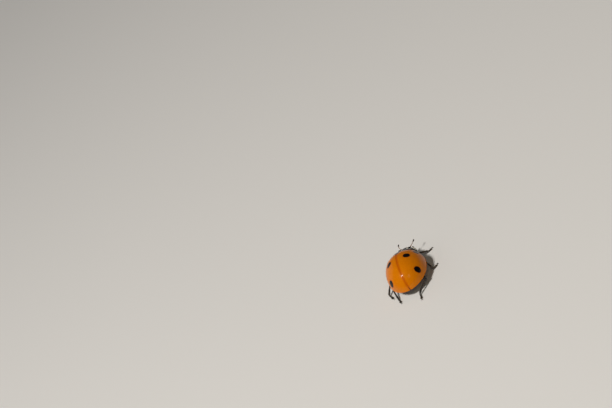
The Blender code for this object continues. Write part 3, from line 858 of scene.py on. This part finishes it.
belly_horn, shader, here = shader_nodes("belly_horn")
folded = fold_sides(here)
flank = patch(folded, (1.78, -1.44, 0.0), (0.50, 0.30, 0.50), 0.06, 0.3)
pits, normal = pitted(here, 15.0, 0.34, 0.5, 0.000014)
colour = mix_colour(pits, (0.010, 0.008, 0.007, 1), (0.004, 0.0035, 0.004, 1))
rusty = ramp(split(folded)["X"], 1.2, 2.1, 0.0, 0.35)
colour = mix_colour(rusty, colour, (0.035, 0.014, 0.006, 1))
fill(shader, {
    "Base Color": mix_colour(flank, colour, (0.78, 0.70, 0.50, 1)),
    "Roughness": scaled(pits, 0.2, 0.34),
    "Normal": normal,
    "Coat Weight": 0.2,
})


def belly_reach(y):
    """Half the belly's width: up to the folded rims of the wing cases."""
    return half_width(y) - rim_fold(y) - BELLY_GAP


def bulge(across):
    """How full a plate is: 1 in the middle and 0 at its edges."""
    return 1 - np.abs(across) ** 2.2


def tray(x, y, lower, upper, narrowing=0.97):
    """One cross-section: the plate below and its closure above, a little narrower."""
    return np.concatenate([points_at(x, y, lower), points_at(narrowing * x, y, upper)[::-1]])


def belly_row(y, depth, relief):
    """A cross-section of the thorax or the abdomen."""
    x = float(belly_reach(y)) * ACROSS
    return tray(x, y, -depth * bulge(ACROSS) + relief(x, y) + BELLY_LEVEL, INSIDE)


def hip_sockets(x, y):
    """The raised rims and hollows in which the middle and hind hips sit."""
    relief = 0.0
    for name in ("mid_left", "mid_right", "hind_left", "hind_right"):
        hip, knee = (np.array(place[:2]) for place in LEGS[name][:2])
        thigh = unit(knee - hip)
        along = (x - hip[0]) * thigh[0] + (y - hip[1]) * thigh[1] - 0.02
        across = (x - hip[0]) * -thigh[1] + (y - hip[1]) * thigh[0]
        reach = np.hypot(along / 0.46, across / 0.29)
        relief = relief + 0.07 * smooth_step(1.05, 0.85, reach) - 0.035 * ridge(reach - 1.12, 0.09)
    return relief


def thorax_relief(x, y):
    """Grooves along the middle and the flanks and across between the plates, and the hind hips."""
    beside = np.abs(x)
    middle_groove = -0.02 * ridge(x, 0.03) * smooth_step(-0.9, -0.7, y)
    flank_groove = -0.03 * ridge(beside - 1.30 - 0.10 * y, 0.03)
    cross_groove = -0.05 * ridge(y + 1.02, 0.035)
    hip_edge = 0.60 + 0.10 * beside
    hip = 0.045 * smooth_step(hip_edge - 0.02, hip_edge + 0.05, y) * smooth_step(0.18, 0.30, beside)
    hip_groove = -0.02 * ridge(y - hip_edge + 0.03, 0.02) * smooth_step(0.12, 0.25, beside)
    return hip_sockets(x, y) - (middle_groove + flank_groove + cross_groove + hip + hip_groove)


def abdomen_relief(x, y):
    """The hips' places, and the curved line behind each hind hip on the first ring."""
    bow = np.hypot((np.abs(x) - 0.80) / 0.62, (y - WAIST) / 0.34)
    return 0.018 * ridge(bow - 1, 0.05) * (y < WAIST + 0.40) + hip_sockets(x, y)


def collar_row(share):
    """The thorax narrows in front and rises into the hollow of the pronotum."""
    x = float(belly_reach(CORE_FRONT)) * (1 - 0.34 * share**2) * ACROSS
    lower = -BELLY_DEPTH * bulge(ACROSS) * (1 - 0.7 * share**2) + BELLY_LEVEL + 0.20 * share**2
    upper = np.maximum(lower + 0.05, INSIDE + 0.75 * share**2 * (1 - ACROSS**2))
    return tray(x, CORE_FRONT - COLLAR_LENGTH * math.sin(share * math.pi / 2), lower, upper)


thorax_rows = [collar_row(share) for share in np.linspace(1, 0.06, COLLAR_ROWS)]
thorax_rows += [belly_row(y, BELLY_DEPTH, thorax_relief) for y in np.linspace(CORE_FRONT, WAIST, 110)]
new_piece("thorax_underside", ring_mesh(thorax_rows), belly_horn, ["thorax"])

abdomen_rows = []
abdomen_front = WAIST + 0.012
for ring in range(RINGS):
    for share in np.concatenate([np.linspace(0, 0.9, 16), [0.95, 0.985, 0.998]]):
        along = (ring + share) / RINGS
        y = abdomen_front + (CORE_REAR - abdomen_front) * along
        step = 0.065 * (1 - share) - 0.03 * max(0.0, (share - 0.95) / 0.05) ** 2
        step -= 0.02 * ridge(share - 0.93, 0.05)
        depth = BELLY_DEPTH * (1 - 0.62 * along**2)
        abdomen_rows.append(belly_row(y, depth, lambda x, y: step + abdomen_relief(x, y)))
new_piece("abdomen_rings", ring_mesh(abdomen_rows), belly_horn, ["abdomen"])

breast = []
across = np.linspace(-1, 1, 71)
for share in np.linspace(0.02, 0.98, 56):
    from_middle = BREAST_HALF_LENGTH * math.cos(math.pi * share)
    fullness = (1 - abs(from_middle / (BREAST_HALF_LENGTH + 0.005)) ** 3) ** 0.4
    x = BREAST_HALF_WIDTH * fullness * across
    keel = 0.05 * ridge(np.abs(x) - 0.10, 0.03) + 0.04 * np.exp(-((x / 0.17) ** 4))
    flank = 0.035 * ridge(np.abs(x) - 0.86 + 0.5 * abs(from_middle), 0.035)
    lower = flank + 0.02 - BREAST_DEPTH * fullness * bulge(across) - keel * min(1.0, 1.5 * fullness)
    breast.append(tray(x, BREAST_MIDDLE + from_middle, lower, 0.16 + 0.5 * (1 - across**2) * fullness, 0.98))
new_piece("prosternum_plate", ring_mesh(breast), belly_horn, ["prosternum"], [WAIST_HINGE])


# ---- Legs ----
# Six slender black legs with thick flattened thighs, shins that widen to their ends, and feet of
# four joints: a short one, a broad two-lobed one with a furry sole, and a thin last one that carries
# two toothed claws. They are caught in mid-stride and every foot is on the floor.

THIGH_DEPTH = (  # place along the thigh, and half its depth there
    (0, 0.04), (0.01, 0.08), (0.03, 0.11), (0.10, 0.15), (0.25, 0.205), (0.45, 0.235),
    (0.70, 0.225), (0.88, 0.195), (0.95, 0.17), (0.985, 0.115), (1, 0.02),
)
SHIN_DEPTH = (
    (0, 0.02), (0.01, 0.05), (0.03, 0.078), (0.10, 0.088), (0.5, 0.108), (0.85, 0.130),
    (0.95, 0.135), (0.99, 0.11), (1, 0.05),
)

leg_horn, shader, here = shader_nodes("leg_horn")
grain = noise(here, 14.0, 4.0)
fill(shader, {
    "Base Color": mix_colour(grain, (0.005, 0.0045, 0.0045, 1), (0.016, 0.012, 0.009, 1)),
    "Roughness": scaled(grain, 0.25, 0.22),
    "Normal": bumped(grain, 0.5, 0.000014),
    "Coat Weight": 0.25,
})


def spike(line, half_width, half_depth, power=1.0, up=UP, sides=8):
    """A fine point of horn along a line."""
    taper = (1 - np.linspace(0, 1, len(line))) ** power
    return sweep(line, half_width * taper + 0.002, half_depth * taper + 0.002, up, sides)


def hip_piece(hip, thigh):
    """The coxa: a short spindle across the body with a collar near its outer end."""
    shares = np.sin(np.linspace(-math.pi / 2 + 0.08, math.pi / 2 - 0.08, 26))
    fullness = np.sqrt(1 - shares**2) * (1 + 0.10 * ridge(shares - 0.62, 0.10))
    line = hip + 0.07 * UP + np.outer(shares * 0.40, thigh)
    return sweep(line, 0.25 * fullness, 0.22 * fullness, sides=28)


def thigh_and_shin(hip, knee, ankle, thigh):
    """The femur and the tibia, each a little bowed upwards."""
    shares = np.concatenate([[0, 0.01, 0.03], np.linspace(0.07, 0.93, 20), [0.97, 0.99, 1.0]])
    rise = np.outer(np.sin(math.pi * shares), UP)
    depth = np.interp(shares, *zip(*THIGH_DEPTH))
    start = hip + 0.30 * thigh
    line = start + np.outer(shares, knee + 0.12 * thigh - start) + 0.05 * rise
    femur = sweep(line, 0.72 * depth, depth, sides=28)
    depth = np.interp(shares, *zip(*SHIN_DEPTH))
    line = knee + np.outer(0.01 + shares * 0.99, ankle - knee) + 0.045 * rise
    return femur, sweep(line, 0.8 * depth, depth, sides=20)


def spurs(knee, ankle):
    """Two short spines at the end of the shin."""
    shin = unit(ankle - knee)
    across = unit(np.cross(shin, UP))
    pair = []
    for side in (1, -1):
        root = ankle - 0.04 * shin + 0.07 * side * across - 0.05 * UP
        line = root + np.outer(np.linspace(0, 1, 6), 0.16 * shin + 0.03 * side * across)
        pair.append(spike(line, 0.020, 0.020))
    return pair


def foot(ankle, tip):
    """The joints of the foot from the ankle to the claws' roots, then the two claws."""
    flat = (tip - ankle) * (1, 1, 0)
    length = np.linalg.norm(flat)
    out = flat / length
    side = np.cross(out, UP)

    def path(share, lift=0.0):
        drop = smooth_step(0.0, 0.42, share)
        height = ankle[2] + (FLOOR + 0.085 - ankle[2]) * drop + 0.03 * max(0.0, share - 0.5)
        return np.array((*(ankle + out * length * share)[:2], height + lift))

    joints = [
        joint_piece(path(0.0), path(0.34), 0.065, 0.105, 0.75, sides=18),
        joint_piece(path(0.31), path(0.50), 0.075, 0.105, 0.65, sides=18),
    ]
    for lobe in (1, -1):
        root, end = path(0.42) + 0.045 * lobe * side, path(0.64, -0.012) + 0.105 * lobe * side
        joints.append(joint_piece(root, end, 0.05, 0.075, 0.75, sides=14))
    joints.append(joint_piece(path(0.50, 0.02), path(0.60, 0.02), 0.035, 0.045, sides=12))
    joints.append(joint_piece(path(0.58, 0.02), path(0.90, 0.03), 0.028, 0.050, sides=14))
    claw_root = path(0.885, 0.02)
    bend = np.linspace(0, 1, 12)
    for lobe in (1, -1):
        spread = np.outer(0.03 + 0.075 * np.sin(bend * 1.5), lobe * side)
        claw = claw_root + np.outer(bend, out * 0.12 * length) + spread
        claw[:, 2] += 0.03 * np.sin(bend * math.pi) - (claw_root[2] - FLOOR - 0.006) * bend**1.5
        joints.append(spike(claw, 0.022, 0.028, 0.7, sides=10))
        tooth = claw[4] + np.outer(np.linspace(0, 1, 6), -0.02 * out - 0.05 * UP - 0.02 * lobe * side)
        joints.append(spike(tooth, 0.018, 0.018, up=out))
    return joints


hairy_skins = []
for name, (*places, stand) in LEGS.items():
    hip, knee, ankle, tip = np.array((*places, (*stand, FLOOR)))
    thigh = unit(knee - hip)
    femur, tibia = thigh_and_shin(hip, knee, ankle, thigh)
    feet = foot(ankle, tip)
    trochanter = joint_piece(hip + 0.24 * thigh, hip + 0.52 * thigh, 0.13, 0.15, sides=18)
    surfaces = [hip_piece(hip, thigh), trochanter, femur, tibia, *feet]
    if not name.startswith("fore"):
        surfaces += spurs(knee, ankle)
    nodes = [f"{name}_{part}" for part in ("coxa", "femur", "tibia", "tarsus")]
    new_piece(f"leg_{name}", ring_mesh(*surfaces), leg_horn, nodes)
    hairy_skins.append((femur, tibia, feet))


# ---- Hairs ----
# Fine bristles of pale brown horn, each set in its own pit and leaning towards the tip of what it
# grows on. They are dense on shins and feet, short on the belly, sparse on thighs and feelers, and
# make a fringe on the upper lip.

TUFT = 0.003  # the width of one bristle's own patch in the coat's map
TUFT_CORNERS = ((0, 0), (0.5, 0), (1, 0), (0.1, 0.6), (0.5, 0.6), (0.9, 0.6), (0.5, 1))
FOOT_HAIRS = (90, 80, 60, 60, 10, 30)  # on each joint of a foot
chance = np.random.default_rng(7)

bristle, shader, here = shader_nodes("bristle_horn")
cloud = noise(here, 6.0, 2.0)
fill(shader, {
    "Base Color": mix_colour(cloud, (0.16, 0.10, 0.055, 1), (0.42, 0.32, 0.21, 1)),
    "Roughness": scaled(cloud, 0.2, 0.35),
    "Specular IOR Level": 0.35,
})


def roots_on(rows, count, tile, first=0, last=None):
    """Random roots on a ring surface: places, outward normals, directions to its tip, map places."""
    rows = np.asarray(rows)
    high, wide = rows.shape[0] - 1, rows.shape[1]
    last = wide if last is None else last
    columns = np.arange(first, last)
    next_columns = (columns + 1) % wide
    near, near_next = rows[:-1][:, columns], rows[:-1][:, next_columns]
    far, far_next = rows[1:][:, columns], rows[1:][:, next_columns]
    normal, along = np.cross(near_next - near, far - near), (far - near) + (far_next - near_next)
    area = np.linalg.norm(normal, axis=-1)
    picked = chance.choice(area.size, count, p=(area / area.sum()).ravel())
    row, column = cell = np.unravel_index(picked, area.shape)
    across, onward = chance.random((2, count, 1))
    near_side = near[cell] * (1 - across) + near_next[cell] * across
    far_side = far[cell] * (1 - across) + far_next[cell] * across
    place = near_side * (1 - onward) + far_side * onward
    normal = normal[cell] / area[cell][:, None]
    normal *= np.sign(np.sum(normal * (place - rows[row].mean(axis=1)), axis=1, keepdims=True))
    along = along[cell] / (np.linalg.norm(along[cell], axis=1, keepdims=True) + 1e-9)
    spot = np.stack([(column + across[:, 0]) / (last - first), (row + onward[:, 0]) / high], axis=-1)
    corner, size = np.array(tile[:2]), np.array(tile[2:])
    return place, normal, along, corner + spot * (size - 2 * TUFT) + TUFT / 2


def bristles(name, patches, length, thickness, lean, hinges=()):
    """One coat: a curved three-sided spike on every root, closed below; lean is in degrees."""
    place, normal, along, spot = (np.concatenate(parts) for parts in zip(*patches))
    count, lean = len(place), math.radians(lean)
    long = length * chance.uniform(0.7, 1.25, (count, 1))
    tip_way = along * math.cos(lean) + 0.25 * chance.normal(size=(count, 3))
    half = place + 0.5 * long * (normal * math.sin(lean) * 1.15 + tip_way * 0.85)
    tip = place + long * (normal * math.sin(lean) * 0.80 + tip_way)
    for bent in (half, tip):
        bent[:, 2] = np.maximum(bent[:, 2], FLOOR + thickness)
    aside = unit(np.cross(normal, along + 1e-3))
    corners = []
    for centre, radius in ((place - 0.004 * normal, thickness), (half, 0.72 * thickness)):
        for angle in np.radians((0, 120, 240)):
            turn = math.cos(angle) * aside + math.sin(angle) * np.cross(aside, tip_way)
            corners.append(centre + radius * turn)
    points = np.stack([*corners, tip], axis=1).reshape(-1, 3)
    faces = []
    for start in range(0, 7 * count, 7):
        faces.append((start, start + 2, start + 1))
        for i, j in ((0, 1), (1, 2), (2, 0)):
            faces.append((start + i, start + j, start + 3 + j, start + 3 + i))
            faces.append((start + 3 + i, start + 3 + j, start + 6))
    map_places = (spot[:, None, :] + np.array(TUFT_CORNERS) * TUFT).reshape(-1, 2)
    new_piece(name, (points, faces), bristle, hinges=hinges, sharp=180, uv=map_places)


shin_coat, thigh_coat = [], []
for leg, (femur, tibia, feet) in enumerate(hairy_skins):
    thigh_coat.append(roots_on(femur, 170, (0, leg / 6, 1, 1 / 6)))
    shin_coat.append(roots_on(tibia[3:], 420, (0, leg / 6, 0.5, 1 / 6)))
    for joint, (skin, count) in enumerate(zip(feet, FOOT_HAIRS)):
        shin_coat.append(roots_on(skin, count, (0.5 + joint / 12, leg / 6, 1 / 12, 1 / 6)))
bristles("hairs_on_shins_and_feet", shin_coat, 0.085, 0.0048, 24)
bristles("hairs_on_thighs", thigh_coat, 0.055, 0.0038, 16)

sole_coat = []
for leg, (_, _, feet) in enumerate(hairy_skins):
    for half, lobe in enumerate(feet[2:4]):
        roots = roots_on(lobe, 170, (half / 2, leg / 6, 0.5, 1 / 6))
        facing_down = roots[1][:, 2] < -0.25
        sole_coat.append([values[facing_down] for values in roots])
bristles("hairs_under_feet", sole_coat, 0.045, 0.0040, 60)

belly_coat = [
    roots_on(thorax_rows[COLLAR_ROWS:], 1500, (0, 0, 1, 0.45), 0, 80),
    roots_on(abdomen_rows, 1500, (0, 0.45, 1, 0.35), 0, 80),
]
bristles("hairs_on_belly", belly_coat, 0.075, 0.0038, 20)
breast_coat = [roots_on(breast, 420, (0, 0, 1, 1), 0, 70)]
bristles("hairs_under_shield", breast_coat, 0.065, 0.0038, 20, [WAIST_HINGE])

feeler_coat = []
for index, skin in enumerate(feeler_skins):
    feeler_number, joint = divmod(index, len(FEELER_JOINTS))
    count = 9 if joint < CLUB_FROM else 26
    feeler_coat.append(roots_on(skin, count, (joint / 11, feeler_number / 2, 1 / 11, 0.5)))
bristles("hairs_on_feelers", feeler_coat, 0.040, 0.0030, 30, FACE_HINGES)

face_coat = [roots_on(skull[36:-14], 150, (0, 0, 1, 0.5), 8, 56)]
face_coat.append(roots_on(upper_lip[5:], 70, (0, 0.5, 0.5, 0.5), 0, 20))
for index, skin in enumerate(hairy_palp_joints):
    face_coat.append(roots_on(skin, 34, (0.5 + index / 8, 0.5, 1 / 8, 0.5)))
bristles("hairs_on_face", face_coat, 0.050, 0.0028, 30, FACE_HINGES)
